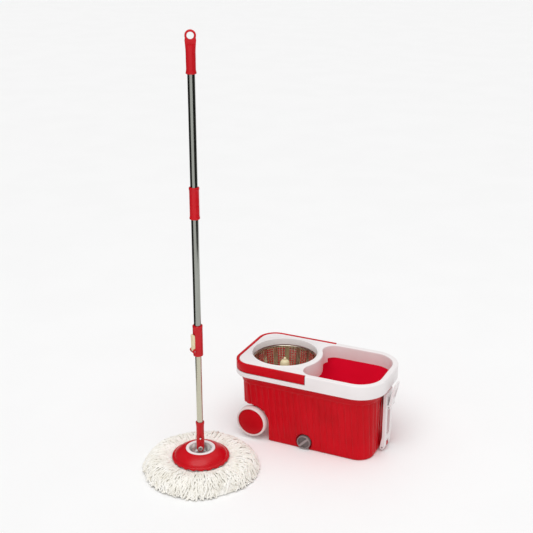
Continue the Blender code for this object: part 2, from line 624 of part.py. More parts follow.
def make_upper_handle(mop, lever_frame, red, steel, cream, dark_steel, nylon, grey):
    """Clamp, outer tubes, drive rod and grips, which slide down and turn on the inner tube."""
    low, high = CLAMP
    bush = turned("swivel_bush", [(INNER_R + 0.0003, low + 0.0004), (0.0109, low + 0.0004),
                                  (0.0109, low + 0.0116), (INNER_R + 0.0003, low + 0.0116)], nylon)
    place(bush, parent=mop)

    body = turned("clamp_body", [(0, low), (CLAMP_R - 0.001, low), (CLAMP_R, low + 0.002),
                                 (CLAMP_R, high - 0.004), (CLAMP_R + 0.0004, high - 0.003),
                                 (CLAMP_R + 0.0004, high), (0, high)], red)
    cup = capsule((LEVER_X, LEVER_Z), (LEVER_X + 0.004, LEVER_Z), 0.0060)
    join(body, side_prism("cup", cup, -0.0098, 0.0098))
    pocket = [(-0.030, 0.3625), (-0.0102, 0.3625), (-0.0102, 0.4150), (-0.0140, 0.4190), (-0.030, 0.4190)]
    cut(body, side_prism("pocket", pocket, -0.0070, 0.0070))
    cut(body, turned("bore", [(0, 0.3), (0.0112, 0.3), (0.0112, low + 0.012), (INNER_R + 0.0004, low + 0.012),
                              (INNER_R + 0.0004, MIDDLE_TUBE[0] - 0.0004),
                              (TUBE_R + 0.0003, MIDDLE_TUBE[0] - 0.0004), (TUBE_R + 0.0003, 0.5), (0, 0.5)]))
    cut(body, box("window", (-0.0150, -0.0048, 0.372), (-0.0050, 0.0048, 0.392)))
    cut(body, cylinder_y("pin_bore", 0.0018, LEVER_X, LEVER_Z, -0.02, 0.02, steps=12))
    place(body, parent=lever_frame)
    shoe = box("brake_shoe", (-0.0100, -0.0044, 0.3725), (-0.0088, 0.0044, 0.3915), grey)
    place(shoe, parent=lever_frame)
    pin = cylinder_y("lever_pin", 0.0015, LEVER_X, LEVER_Z, -0.0102, 0.0102, dark_steel, steps=12)
    place(pin, (LEVER_X, 0, LEVER_Z), lever_frame)
    lever_outline = (arc((LEVER_X, LEVER_Z), 0.0034, 180, 360, 8)
                     + [(-0.0106, 0.4080), (-0.0125, 0.4120), (-0.0178, 0.4130), (-0.0176, 0.3800)])
    lever = side_prism("lock_lever", lever_outline, -0.0066, 0.0066, cream)
    cut(lever, cylinder_y("bore", 0.0018, LEVER_X, LEVER_Z, -0.02, 0.02, steps=12))
    place(lever, (LEVER_X, 0, LEVER_Z), lever_frame)

    place(turned("middle_tube", tube_profile(TUBE_R, *MIDDLE_TUBE), steel), parent=mop)
    place(turned("upper_tube", tube_profile(TUBE_R, *UPPER_TUBE), steel), parent=mop)
    rod_top = ROD[1]
    anchor = turned("rod_anchor", [(0, 0.746), (0.0084, 0.746), (0.0084, 0.812), (0.0060, 0.812),
                                   (0.0060, rod_top + 0.006), (0, rod_top + 0.006)], nylon)
    cut(anchor, twisted_strip("slot", 0.740, rod_top + 0.001, 0.0044, 0.0017))
    place(anchor, parent=mop)
    place(twisted_strip("drive_rod", ROD[0], rod_top, 0.0038, 0.0010, dark_steel), parent=mop)
    sleeve_low, sleeve_high = 0.734, 0.819
    bore = TUBE_R + 0.0003
    sleeve = turned("middle_grip", [
        (bore, sleeve_low), (0.0122, sleeve_low), (0.0137, sleeve_low + 0.002), (0.0137, sleeve_low + 0.005),
        (0.0127, sleeve_low + 0.009), (0.0127, sleeve_high - 0.009), (0.0137, sleeve_high - 0.005),
        (0.0137, sleeve_high - 0.002), (0.0122, sleeve_high), (bore, sleeve_high)], red)
    place(sleeve, parent=mop)
    make_top_grip(mop, red, bore)


def make_top_grip(mop, red, bore):
    low, neck, eye = 1.105, 1.168, 1.1978
    grip = turned("top_grip", [
        (0, low), (0.0120, low), (0.0136, low + 0.0015), (0.0134, low + 0.004), (0.0121, low + 0.010),
        (0.0124, low + 0.025), (0.0124, neck - 0.010), (0.0118, neck), (0.0118, neck + 0.012), (0, neck + 0.012)
    ], red)
    ring_r, ring_t = 0.0140, 0.0055
    spread = arc((0, eye), ring_r, 0, 180, 14)
    outline = spread + [(-ring_r, eye - 0.008), (-0.0122, neck), (-0.0118, neck - 0.010),
                        (0.0118, neck - 0.010), (0.0122, neck), (ring_r, eye - 0.008)]
    join(grip, side_prism("eye", outline, -ring_t, ring_t))
    cut(grip, cylinder_y("hole", 0.0092, 0, eye, -0.03, 0.03, steps=28))
    top = UPPER_TUBE[1] + 0.0005
    cut(grip, turned("bore", [(0, 1.0), (bore, 1.0), (bore, top), (0, top)]))
    place(grip, parent=mop)


def main():
    clear_scene()
    red = material("red_plastic", (0.55, 0.010, 0.016), 0.32)
    white = material("white_plastic", (0.80, 0.76, 0.75), 0.38)
    cream = material("cream_plastic", (0.74, 0.64, 0.42), 0.42)
    grey = material("grey_plastic", (0.33, 0.32, 0.32), 0.45)
    nylon = material("nylon", (0.75, 0.73, 0.66), 0.5)
    rubber = material("rubber", (0.03, 0.03, 0.03), 0.75)
    steel = material("tube_steel", (0.42, 0.42, 0.38), 0.25, 1.0)
    dark_steel = material("dark_steel", (0.30, 0.30, 0.29), 0.35, 1.0)
    basket_steel = material("basket_steel", (0.62, 0.60, 0.55), 0.22, 1.0)
    chrome = material("chrome", (0.80, 0.80, 0.80), 0.08, 1.0)
    yarn_white = material("yarn_white", (0.86, 0.85, 0.80), 0.95)

    make_tub(red)
    make_top_shell(white)
    make_bail(red, dark_steel)
    make_wheels(white, red, dark_steel, grey)
    make_basket(basket_steel, cream, grey, red, dark_steel)
    make_drain(grey, rubber)
    make_tow_handle(white, dark_steel)

    mop = empty("mop_frame", (MOP_X, MOP_Y, 0), MOP_TURN)
    lever_frame = empty("lever_frame", (0, 0, 0), LEVER_TURN, mop)
    make_mop_head(mop, red, white, chrome, yarn_white, grey)
    make_lower_handle(mop, red, steel, chrome, white, nylon)
    make_upper_handle(mop, lever_frame, red, steel, cream, dark_steel, nylon, grey)


main()
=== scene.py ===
"""Looks of the spin mop and its bucket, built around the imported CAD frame.

Metres, in the row frame: origin at the centre of the bucket's underside, +Z up, +X towards the tow handle.
"""

import math
import random

import bpy
from mathutils import Matrix, Vector


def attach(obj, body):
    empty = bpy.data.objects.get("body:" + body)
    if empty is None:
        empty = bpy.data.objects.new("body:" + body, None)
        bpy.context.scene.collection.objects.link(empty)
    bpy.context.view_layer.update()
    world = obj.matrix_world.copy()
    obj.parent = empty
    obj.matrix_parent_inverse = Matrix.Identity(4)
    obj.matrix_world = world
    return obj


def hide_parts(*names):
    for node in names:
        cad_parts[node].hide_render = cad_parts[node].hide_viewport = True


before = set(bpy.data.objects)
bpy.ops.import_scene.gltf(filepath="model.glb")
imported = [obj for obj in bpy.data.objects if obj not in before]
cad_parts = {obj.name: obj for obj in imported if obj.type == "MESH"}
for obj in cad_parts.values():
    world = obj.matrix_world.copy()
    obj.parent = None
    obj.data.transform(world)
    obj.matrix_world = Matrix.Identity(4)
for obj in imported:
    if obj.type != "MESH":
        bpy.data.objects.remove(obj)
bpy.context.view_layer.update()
RNG = random.Random(7)

# ---------------------------------------------------------------- sizes, as in the CAD

RIM_A, RIM_B = 0.2258, 0.1264
RIM_R_LEFT, RIM_R_RIGHT = 0.056, 0.084
RIM_TOP, RIM_BOTTOM = 0.243, 0.201
SKIN, TUB_WALL, TUB_FLOOR, TUB_TOP = 0.0025, 0.0026, 0.003, 0.2026
LEDGE_INSET = 0.0038
TUB_TOP_A, TUB_TOP_B, TUB_LOW_A, TUB_LOW_B = 0.205, 0.113, 0.200, 0.107
TUB_TAPER_Z = 0.190         # height at which the tub's outline is TUB_TOP_A by TUB_TOP_B
FLUTES, FLUTE_DEPTH, FLUTE_POINTS = 60, 0.0022, 1200
WHEEL_X, WHEEL_Z, WHEEL_R, HUB_R = -0.163, 0.0565, 0.047, 0.0403
WHEEL_FACE, WHEEL_WIDTH, ARCH_R, AXLE_R = 0.1215, 0.0235, 0.053, 0.004
BASKET_X, HOLE_R = -0.107, 0.096
BASKET_TOP, BASKET_FLOOR, BASKET_TOP_R, BASKET_LOW_R = 0.222, 0.150, 0.0948, 0.086
OPEN_B, OPEN_RIGHT, OPEN_CORNER = 0.1097, 0.2091, 0.0675
DIVIDER_R, DIVIDER_FILLET, DIVIDER_BOTTOM = 0.113, 0.036, 0.190
BAIL_INSET, BAIL_LOW, BAIL_HIGH, BAIL_END_X = 0.0082, 0.2166, 0.2434, 0.0080
REBATE_INSET, REBATE_END_X, REBATE_Z = 0.0088, 0.0100, 0.2150
DRAIN_X, DRAIN_Z, POCKET_R, CAP_R, DRAIN_BACK = 0.002, 0.0225, 0.026, 0.0203, -0.0965
DRAIN_BOSS_R, DRAIN_BORE_R, PLUG_FACE, PLUG_NOTCHES = 0.0150, 0.0111, -0.1125, 24
TOW_PIN_X, TOW_PIN_Z = 0.2135, 0.0145
MOP = Vector((-0.2183, -0.3271, 0))
MOP_TURN, LEVER_TURN, PIVOT_Z = math.radians(29), math.radians(25), 0.070
TUBE_R, INNER_R, TUBE_WALL = 0.0096, 0.0085, 0.0008
LOWER_TUBE, MIDDLE_TUBE, UPPER_TUBE = (0.092, 0.545), (0.418, 0.7765), (0.777, 1.155)
FOOT_SCALLOPS = 22
PLAY = 0.0003               # gap between a shaft or tube and its bore
STEPS = 64                  # sides of a turned shape

FLOOR_HALF = 400
SUN_POWER, SUN_SPREAD, SUN_PLACE = 1.40, math.radians(55), Vector((0.25, -1.2, 2.6))
SKY_STRENGTH = 0.605
CAMERA_PLACE, CAMERA_AIM, CAMERA_LENS = (0.996, -2.509, 1.514), Vector((-0.395, 0.852, -0.343)), 68.6


# ---------------------------------------------------------------- materials

def srgb(r, g, b):
    def linear(v):
        v /= 255
        return v / 12.92 if v <= 0.04045 else ((v + 0.055) / 1.055) ** 2.4
    return (linear(r), linear(g), linear(b), 1.0)


class Look:
    """A material being built: its nodes, and short ways to add and join them."""

    def __init__(self, name, roughness, metallic=0.0):
        self.material = bpy.data.materials.new(name)
        self.material.use_nodes = True
        self.tree = self.material.node_tree
        self.shader = self.tree.nodes["Principled BSDF"]
        self.set(roughness=roughness, metallic=metallic)
        self.place = self.node("ShaderNodeTexCoord").outputs["Object"]

    def set(self, **values):
        for key, value in values.items():
            key = key.replace("_", " ").title().replace("Ior", "IOR")
            self.shader.inputs[key].default_value = value

    def node(self, kind, **inputs):
        made = self.tree.nodes.new(kind)
        for key, value in inputs.items():
            made.inputs[key.title()].default_value = value
        return made

    def join(self, output, target):
        self.tree.links.new(output, target)

    def noise(self, scale, detail, stretch=(1, 1, 1), roughness=0.5):
        mapping = self.node("ShaderNodeMapping")
        mapping.inputs["Scale"].default_value = stretch
        self.join(self.place, mapping.inputs["Vector"])
        noise = self.node("ShaderNodeTexNoise", scale=scale, detail=detail, roughness=roughness)
        self.join(mapping.outputs["Vector"], noise.inputs["Vector"])
        return noise.outputs["Fac"]

    def color(self, factor, stops):
        """The base colour runs through the stops, which are (position, colour), with the factor."""
        ramp = self.node("ShaderNodeValToRGB")
        elements = ramp.color_ramp.elements
        while len(elements) < len(stops):
            elements.new(0.5)
        for element, (position, color) in zip(elements, stops):
            element.position = position
            element.color = color
        self.join(factor, ramp.inputs["Fac"])
        self.join(ramp.outputs["Color"], self.shader.inputs["Base Color"])

    def rough(self, factor, low, high):
        spread = self.node("ShaderNodeMapRange")
        spread.inputs["To Min"].default_value = low
        spread.inputs["To Max"].default_value = high
        self.join(factor, spread.inputs["Value"])
        self.join(spread.outputs["Result"], self.shader.inputs["Roughness"])

    def bump(self, factor, distance, strength):
        bump = self.node("ShaderNodeBump")
        bump.inputs["Distance"].default_value = distance
        bump.inputs["Strength"].default_value = strength
        self.join(factor, bump.inputs["Height"])
        self.join(bump.outputs["Normal"], self.shader.inputs["Normal"])


def plastic(name, light, dark, roughness, grain=900, depth=0.00004, coat=0.0, gloss=0.5):
    """Moulded plastic: faint flow marks in the colour, and a fine grain."""
    look = Look(name, roughness)
    look.color(look.noise(14, 2), [(0.35, dark), (0.65, light)])
    look.rough(look.noise(60, 4), roughness - 0.05, roughness + 0.07)
    look.bump(look.noise(grain, 2), depth, 0.35)
    look.set(coat_weight=coat, coat_roughness=0.12, specular_ior_level=gloss)
    return look.material


def drawn_steel(name, light, dark, roughness, stretch=(1, 1, 0.02), scale=420):
    """Metal with fine lines along the draw."""
    look = Look(name, roughness, 1.0)
    lines = look.noise(scale, 4, stretch, 0.7)
    look.color(lines, [(0.3, dark), (0.7, light)])
    look.rough(lines, roughness - 0.05, roughness + 0.08)
    look.bump(lines, 0.00002, 0.25)
    return look.material


def yarn_material():
    look = Look("yarn_white", 0.95)
    look.color(look.noise(38, 4), [(0.30, srgb(238, 234, 224)), (0.55, srgb(248, 245, 238)),
                                   (0.75, srgb(252, 250, 246))])
    look.bump(look.noise(900, 3, roughness=0.6), 0.0002, 0.3)
    look.set(sheen_weight=0.25, sheen_roughness=0.5, specular_ior_level=0.05)
    return look.material


def floor_material():
    look = Look("floor", 0.7)
    look.color(look.noise(3, 2), [(0.4, srgb(247, 247, 247)), (0.6, srgb(248, 248, 248))])
    look.set(specular_ior_level=0.05)
    return look.material


def tub_inside_glow_material():
    """The tub's inner faces, with a painted glow (emission) standing in for daylight coming through the
    thin coloured wall.
    """
    look = Look("red_plastic_inside_painted_glow", 0.35)
    look.color(look.noise(14, 2), [(0.35, srgb(196, 12, 38)), (0.65, srgb(206, 14, 44))])
    look.rough(look.noise(60, 4), 0.32, 0.42)
    look.bump(look.noise(900, 2), 0.00004, 0.35)
    # The emission is painted light: the inside glows red though it is no lamp.
    look.set(specular_ior_level=0.25, emission_color=srgb(186, 8, 40), emission_strength=0.40)
    return look.material


RED = plastic("red_plastic", srgb(203, 4, 24), srgb(190, 4, 20), 0.30, gloss=0.12)
INSIDE_PAINTED_GLOW = tub_inside_glow_material()
MOP_RED = plastic("mop_red_plastic", srgb(202, 10, 26), srgb(192, 8, 22), 0.28, coat=0.05, gloss=0.28)
WHITE = plastic("white_plastic", srgb(240, 235, 235), srgb(236, 230, 230), 0.36, coat=0.08, gloss=0.35)
TYRE = plastic("white_tyre", srgb(234, 218, 216), srgb(228, 211, 209), 0.55, grain=1400, depth=0.00008,
               gloss=0.3)
CREAM = plastic("cream_plastic", srgb(238, 224, 184), srgb(228, 212, 168), 0.42)
GREY = plastic("grey_plastic", srgb(158, 146, 145), srgb(144, 132, 131), 0.42, grain=1200, depth=0.00008,
               gloss=0.35)
# A darker grey for the floor of the plug's hollow face: painted shade in the recess.
GREY_PAINTED_SHADE = plastic("grey_plastic_hollow_painted_shade", srgb(126, 114, 113), srgb(114, 103, 102), 0.55, gloss=0.2)
NYLON = plastic("nylon", srgb(226, 222, 208), srgb(214, 210, 196), 0.5)
RUBBER = plastic("rubber", srgb(40, 40, 40), srgb(30, 30, 30), 0.75)
TUBE_DARK = drawn_steel("upper_tube_steel", srgb(170, 173, 166), srgb(150, 152, 145), 0.14)
TUBE_PALE = drawn_steel("lower_tube_steel", srgb(208, 204, 184), srgb(190, 186, 166), 0.24)
ZINC = drawn_steel("zinc_steel", srgb(168, 166, 162), srgb(144, 142, 138), 0.35)
SHEET = drawn_steel("basket_steel", srgb(222, 215, 200), srgb(200, 193, 176), 0.20, (1, 1, 0.3), 160)
CHROME = drawn_steel("chrome", srgb(250, 249, 247), srgb(238, 236, 233), 0.34, (1, 1, 1), 60)
YARN = yarn_material()


# ---------------------------------------------------------------- shapes

TO_Y = Matrix.Rotation(-math.pi / 2, 4, "X")


def piece_of(name, points, faces, material):
    mesh = bpy.data.meshes.new(name)
    mesh.from_pydata([tuple(p) for p in points], [], faces)
    mesh.update()
    piece = bpy.data.objects.new(name, mesh)
    bpy.context.scene.collection.objects.link(piece)
    mesh.materials.append(material)
    return piece


def finish_piece(piece, body, replaces, angle):
    """Smooth shading up to that angle in degrees, and the piece's place in the part."""
    piece.data.shade_smooth()
    piece.data.set_sharp_from_angle(angle=math.radians(angle))
    if replaces:
        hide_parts(*replaces)
    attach(piece, body)


def signed_area(outline):
    return sum(a[0] * b[1] - b[0] * a[1] for a, b in zip(outline, outline[1:] + outline[:1])) / 2


def arc(center, radius, start, end, steps):
    """Points on a circle, from one angle to the other, in degrees."""
    points = []
    for i in range(steps + 1):
        angle = math.radians(start + (end - start) * i / steps)
        points.append((center[0] + radius * math.cos(angle), center[1] + radius * math.sin(angle)))
    return points


def turned(name, profile, material, steps=STEPS):
    """A closed (radius, z) profile turned about Z."""
    if signed_area(profile) < 0:
        profile = profile[::-1]
    points, rings = [], []
    for radius, z in profile:
        if radius < 1e-7:
            rings.append([len(points)] * steps)
            points.append((0.0, 0.0, z))
            continue
        rings.append(list(range(len(points), len(points) + steps)))
        for i in range(steps):
            angle = 2 * math.pi * i / steps
            points.append((radius * math.cos(angle), radius * math.sin(angle), z))
    faces = []
    for low, high in zip(rings, rings[1:] + rings[:1]):
        for i in range(steps):
            j = (i + 1) % steps
            corners = [low[i], low[j], high[j], high[i]]
            face = [c for k, c in enumerate(corners) if c not in corners[:k]]
            if len(face) > 2:
                faces.append(face)
    return piece_of(name, points, faces, material)


def lofted(name, loops, material=RED):
    """A solid whose skin runs from loop to loop, with both ends closed."""
    count = len(loops[0])
    points = [p for loop in loops for p in loop]
    faces = [tuple(reversed(range(count)))]
    for level in range(len(loops) - 1):
        base = level * count
        for i in range(count):
            j = (i + 1) % count
            faces.append((base + i, base + j, base + count + j, base + count + i))
    top = (len(loops) - 1) * count
    faces.append(tuple(range(top, top + count)))
    return piece_of(name, points, faces, material)


def prism(name, outline, low, high):
    if signed_area(outline) < 0:
        outline = outline[::-1]
    return lofted(name, [[(x, y, z) for x, y in outline] for z in (low, high)])


def side_prism(name, outline, low, high, material=RED):
    """An (x, z) outline drawn out along Y."""
    if signed_area(outline) < 0:
        outline = outline[::-1]
    return lofted(name, [[(x, y, z) for x, z in outline] for y in (high, low)], material)


def box(name, low, high):
    outline = [(low[0], low[1]), (high[0], low[1]), (high[0], high[1]), (low[0], high[1])]
    return prism(name, outline, low[2], high[2])


def moved(obj, matrix):
    obj.data.transform(matrix)
    return obj


def along_y(obj, x, y, z):
    """Lay a turned shape down so that its axis runs along Y, and put its origin at that place."""
    return moved(obj, Matrix.Translation((x, y, z)) @ TO_Y)


def cylinder_y(name, radius, x, z, low, high, steps=48):
    profile = [(0, 0), (radius, 0), (radius, high - low), (0, high - low)]
    return along_y(turned(name, profile, RED, steps), x, low, z)


def boolean(obj, other, operation):
    modifier = obj.modifiers.new("cut", "BOOLEAN")
    modifier.operation = operation
    modifier.solver = "EXACT"
    modifier.object = other
    graph = bpy.context.evaluated_depsgraph_get()
    mesh = bpy.data.meshes.new_from_object(obj.evaluated_get(graph))
    obj.modifiers.clear()
    obj.data = mesh
    bpy.data.objects.remove(other, do_unlink=True)


def cut(obj, other):
    boolean(obj, other, "DIFFERENCE")


def join(obj, other):
    boolean(obj, other, "UNION")


def one_material(obj, material):
    obj.data.materials.clear()
    obj.data.materials.append(material)
    for face in obj.data.polygons:
        face.material_index = 0


def rounded_edges(obj, width, angle):
    bevel = obj.modifiers.new("edges", "BEVEL")
    bevel.width = width
    bevel.segments = 3
    bevel.limit_method = "ANGLE"
    bevel.angle_limit = math.radians(angle)
    bevel.use_clamp_overlap = True


def rounded_rectangle(half_length, half_width, left_radius, right_radius, steps):
    corners = ((1, 1, right_radius, 0), (-1, 1, left_radius, 90),
               (-1, -1, left_radius, 180), (1, -1, right_radius, 270))
    points = []
    for side_x, side_y, radius, start in corners:
        center = (side_x * (half_length - radius), side_y * (half_width - radius))
        points += arc(center, radius, start, start + 90, steps)
    return points


def rim_outline(inset, steps=14):
    return rounded_rectangle(RIM_A - inset, RIM_B - inset, RIM_R_LEFT - inset, RIM_R_RIGHT - inset, steps)


def resampled(outline, count):
    """The closed outline as count points equally far apart."""
    loop = outline + outline[:1]
    lengths = [0.0]
    for a, b in zip(loop, loop[1:]):
        lengths.append(lengths[-1] + math.dist(a, b))
    total, points, k = lengths[-1], [], 0
    for i in range(count):
        target = total * i / count
        while lengths[k + 1] < target:
            k += 1
        span = lengths[k + 1] - lengths[k]
        t = (target - lengths[k]) / span if span > 1e-9 else 0
        points.append((loop[k][0] + (loop[k + 1][0] - loop[k][0]) * t,
                       loop[k][1] + (loop[k + 1][1] - loop[k][1]) * t))
    return points


# ---------------------------------------------------------------- tub

def arch_outline(grow):
    radius = ARCH_R + grow
    curve = arc((WHEEL_X, WHEEL_Z), radius, 0, 90, 24)
    return [(-0.30, -0.02), (WHEEL_X + radius, -0.02)] + curve + [(-0.30, WHEEL_Z + radius)]


def tub_outline(share, inset):
    """The tub's outline, from its foot at share 0 to its widest at share 1."""
    return rounded_rectangle(TUB_LOW_A + (TUB_TOP_A - TUB_LOW_A) * share - inset,
                             TUB_LOW_B + (TUB_TOP_B - TUB_LOW_B) * share - inset,
                             0.034 + 0.008 * share - inset, 0.048 + 0.018 * share - inset, 16)


def make_tub():
    """The red tub: a smooth lip under the rim, then upright flutes down to the foot."""
    count = FLUTE_POINTS
    levels = [(0.0, 0.004, 0.0), (0.0012, 0.0018, 0.0), (0.005, 0.0, 0.0), (0.010, 0.0, 0.0),
              (0.013, 0.0, 1.0), (0.05, 0.0, 1.0), (0.09, 0.0, 1.0), (0.13, 0.0, 1.0), (0.1700, 0.0, 1.0),
              (0.1745, 0.0, 0.6), (0.1775, 0.0, 0.0)]      # (height, inset, share of the flutes' depth)
    loops = []
    for z, inset, groove in levels:
        points = resampled(tub_outline(z / TUB_TAPER_Z, inset), count)
        loop = []
        for i, (x, y) in enumerate(points):
            before, after = points[i - 1], points[(i + 1) % count]
            nx, ny = after[1] - before[1], before[0] - after[0]
            size = math.hypot(nx, ny) or 1
            phase = (i / count * FLUTES) % 1
            near = min(phase, 1 - phase) * 2
            dent = FLUTE_DEPTH * groove * (0.5 + 0.5 * math.cos(math.pi * near)) ** 4
            loop.append((x - nx / size * dent, y - ny / size * dent, z))
        loops.append(loop)
    lip_low = resampled(tub_outline(0.93, 0), count)
    lip_high = resampled(rim_outline(LEDGE_INSET, 16), count)
    for z, t in ((0.1790, 0.13), (0.1815, 0.19), (0.1870, 0.24), (0.1915, 0.36), (0.1945, 0.58),
                 (0.1965, 0.83), (0.1978, 1.0), (TUB_TOP, 1.0)):
        loops.append([(a[0] + (b[0] - a[0]) * t, a[1] + (b[1] - a[1]) * t, z)
                      for a, b in zip(lip_low, lip_high)])
    tub = lofted("tub_fluted", loops, RED)
    cut(tub, side_prism("arch", arch_outline(0), -0.2, 0.2))
    cut(tub, cylinder_y("pocket", POCKET_R, DRAIN_X, DRAIN_Z, -0.14, DRAIN_BACK))
    inner = [[(x, y, z) for x, y in tub_outline(share, TUB_WALL)] for z, share in
             ((TUB_FLOOR, 0.02), (0.2126, 1.02))]
    cavity = lofted("cavity", inner)
    cut(cavity, side_prism("arch", arch_outline(TUB_WALL), -0.2, 0.2))
    cut(cavity, cylinder_y("pocket", POCKET_R + TUB_WALL, DRAIN_X, DRAIN_Z, -0.14, DRAIN_BACK + TUB_WALL))
    cut(tub, cavity)
    join(tub, cylinder_y("boss", DRAIN_BOSS_R, DRAIN_X, DRAIN_Z, DRAIN_BACK + 0.001, -0.086))
    cut(tub, cylinder_y("bore", DRAIN_BORE_R, DRAIN_X, DRAIN_Z, -0.11, -0.08, steps=40))
    for side in (-1, 1):
        span = sorted((side * 0.064, side * 0.070))
        roof = arc((WHEEL_X, WHEEL_Z), ARCH_R + TUB_WALL / 2, 72, 90, 6)
        foot = arc((WHEEL_X, WHEEL_Z), 0.0115, 180, 360, 16)
        left = [(WHEEL_X - 0.0165, WHEEL_Z + ARCH_R + TUB_WALL / 2)]
        join(tub, side_prism("bracket", foot + roof + left, *span))
    lug = arc((TOW_PIN_X, TOW_PIN_Z), 0.0065, -90, 90, 12) + [(0.1985, TOW_PIN_Z + 0.0065),
                                                              (0.1985, TOW_PIN_Z - 0.0065)]
    join(tub, side_prism("lug", lug, -0.009, 0.009))
    cut(tub, cylinder_y("axle_bore", AXLE_R + PLAY, WHEEL_X, WHEEL_Z, -0.1, 0.1, steps=24))
    cut(tub, cylinder_y("pin_bore", 0.0028, TOW_PIN_X, TOW_PIN_Z, -0.05, 0.05, steps=20))
    one_material(tub, RED)
    # Faces inside the tub take the material with the painted glow.
    tub.data.materials.append(INSIDE_PAINTED_GLOW)
    for face in tub.data.polygons:
        x, y, z = face.center
        near_pocket = y < 0 and math.hypot(x - DRAIN_X, z - DRAIN_Z) < POCKET_R + 0.004
        inward = face.normal.x * x / RIM_A + face.normal.y * y / RIM_B
        skin = TUB_LOW_A + (TUB_TOP_A - TUB_LOW_A) * z / TUB_TAPER_Z - TUB_WALL / 2
        if z > TUB_FLOOR - 0.0005 and abs(x) < skin and not near_pocket:
            if inward < -0.3 or (face.normal.z > 0.9 and z < TUB_FLOOR + 0.001):
                face.material_index = 1
    finish_piece(tub, "bucket", ["tub"], 40)


# ---------------------------------------------------------------- top shell and bail

def opening_outline(grow):
    """The water opening: square at the right, and hollowed by the divider round the basket at the left."""
    fillet_b = OPEN_B - DIVIDER_FILLET
    reach = DIVIDER_R + DIVIDER_FILLET
    fillet_x = BASKET_X + math.sqrt(reach ** 2 - fillet_b ** 2)
    meet = math.degrees(math.atan2(fillet_b, fillet_x - BASKET_X))
    fillet, corner = DIVIDER_FILLET + grow, OPEN_CORNER + grow
    right, front = OPEN_RIGHT - OPEN_CORNER, OPEN_B - OPEN_CORNER
    return (arc((right, -front), corner, -90, 0, 22) + arc((right, front), corner, 0, 90, 22)
            + arc((fillet_x, fillet_b), fillet, 90, 180 + meet, 20)
            + arc((BASKET_X, 0), DIVIDER_R - grow, meet, -meet, 24)[1:-1]
            + arc((fillet_x, -fillet_b), fillet, 180 - meet, 270, 20))


def flared_prism(name, outline_of, low, levels, high):
    """A cutter with the given outline, which widens at its mouth: levels are (z, growth)."""
    loops = [[(x, y, low) for x, y in outline_of(0)]]
    loops += [[(x, y, z) for x, y in outline_of(grow)] for z, grow in levels]
    loops.append([(x, y, high) for x, y in outline_of(levels[-1][1])])
    return lofted(name, loops)


def edge_round(top, radius):
    """(z, growth) of a quarter round of that radius that ends at height top."""
    steps = 5
    return [(top - radius + radius * math.sin(a), radius - radius * math.cos(a))
            for a in (math.pi / 2 * i / steps for i in range(steps + 1))]


def make_top_shell():
    top = edge_round(RIM_TOP, 0.0032)
    loops = [[(x, y, RIM_BOTTOM) for x, y in rim_outline(0.0006)],
             [(x, y, RIM_BOTTOM + 0.0006) for x, y in rim_outline(0.0)]]
    loops += [[(x, y, z) for x, y in rim_outline(grow)] for z, grow in top]
    shell = lofted("top_shell_moulded", loops, WHITE)
    cut(shell, prism("hollow_low", rim_outline(SKIN), RIM_BOTTOM - 0.01, 0.2128))
    cut(shell, prism("hollow_high", rim_outline(REBATE_INSET + 0.0024), 0.2100, RIM_TOP - SKIN))
    rebate = prism("rebate", rim_outline(-0.003), REBATE_Z, RIM_TOP + 0.01)
    core = edge_round(RIM_TOP, 0.0022)
    loops = [[(x, y, REBATE_Z - 0.01) for x, y in rim_outline(REBATE_INSET)]]
    loops += [[(x, y, z) for x, y in rim_outline(REBATE_INSET + grow)] for z, grow in core]
    loops.append([(x, y, RIM_TOP + 0.0001) for x, y in rim_outline(REBATE_INSET + 0.0022)])
    cut(rebate, lofted("core", loops))
    cut(rebate, box("right_half", (REBATE_END_X, -0.2, 0.2), (0.3, 0.2, 0.3)))
    cut(shell, rebate)
    join(shell, prism("collar", opening_outline(SKIN), TUB_TOP + 0.0004, RIM_TOP - 0.001))
    skirt = prism("skirt", opening_outline(SKIN), DIVIDER_BOTTOM, 0.210)
    boolean(skirt, box("near_divider", (-0.08, -0.094, 0.18), (0.022, 0.094, 0.22)), "INTERSECT")
    join(shell, skirt)
    at_basket = Matrix.Translation((BASKET_X, 0, 0))
    ring = [(0, 0.225), (HOLE_R + SKIN, 0.225), (HOLE_R + SKIN, 0.2405)]
    ring += [(HOLE_R + 0.0065, 0.2428), (HOLE_R + 0.0048, 0.2436), (HOLE_R + 0.0035, 0.2450),
             (HOLE_R + 0.0020, 0.2455), (0, 0.2455)]
    join(shell, moved(turned("ring", ring, WHITE, 96), at_basket))
    cut(shell, flared_prism("opening", opening_outline, 0.15, edge_round(RIM_TOP, 0.0030), 0.3))
    hole = [(0, 0.15), (HOLE_R, 0.15), (HOLE_R, 0.2437), (HOLE_R + 0.0004, 0.2446),
            (HOLE_R + 0.0012, 0.2453), (HOLE_R + 0.0024, 0.2457), (HOLE_R + 0.0024, 0.3), (0, 0.3)]
    cut(shell, moved(turned("hole", hole, WHITE, 96), at_basket))
    dimple = [(0, 0.2410), (0.0060, 0.2411), (0.0115, 0.2417), (0.0150, 0.2426), (0.0170, 0.24305),
              (0.0170, 0.26), (0, 0.26)]
    cut(shell, moved(turned("dimple", dimple, WHITE), Matrix.Translation((-0.016, -0.076, 0))))
    one_material(shell, WHITE)
    finish_piece(shell, "bucket", ["top_shell"], 32)


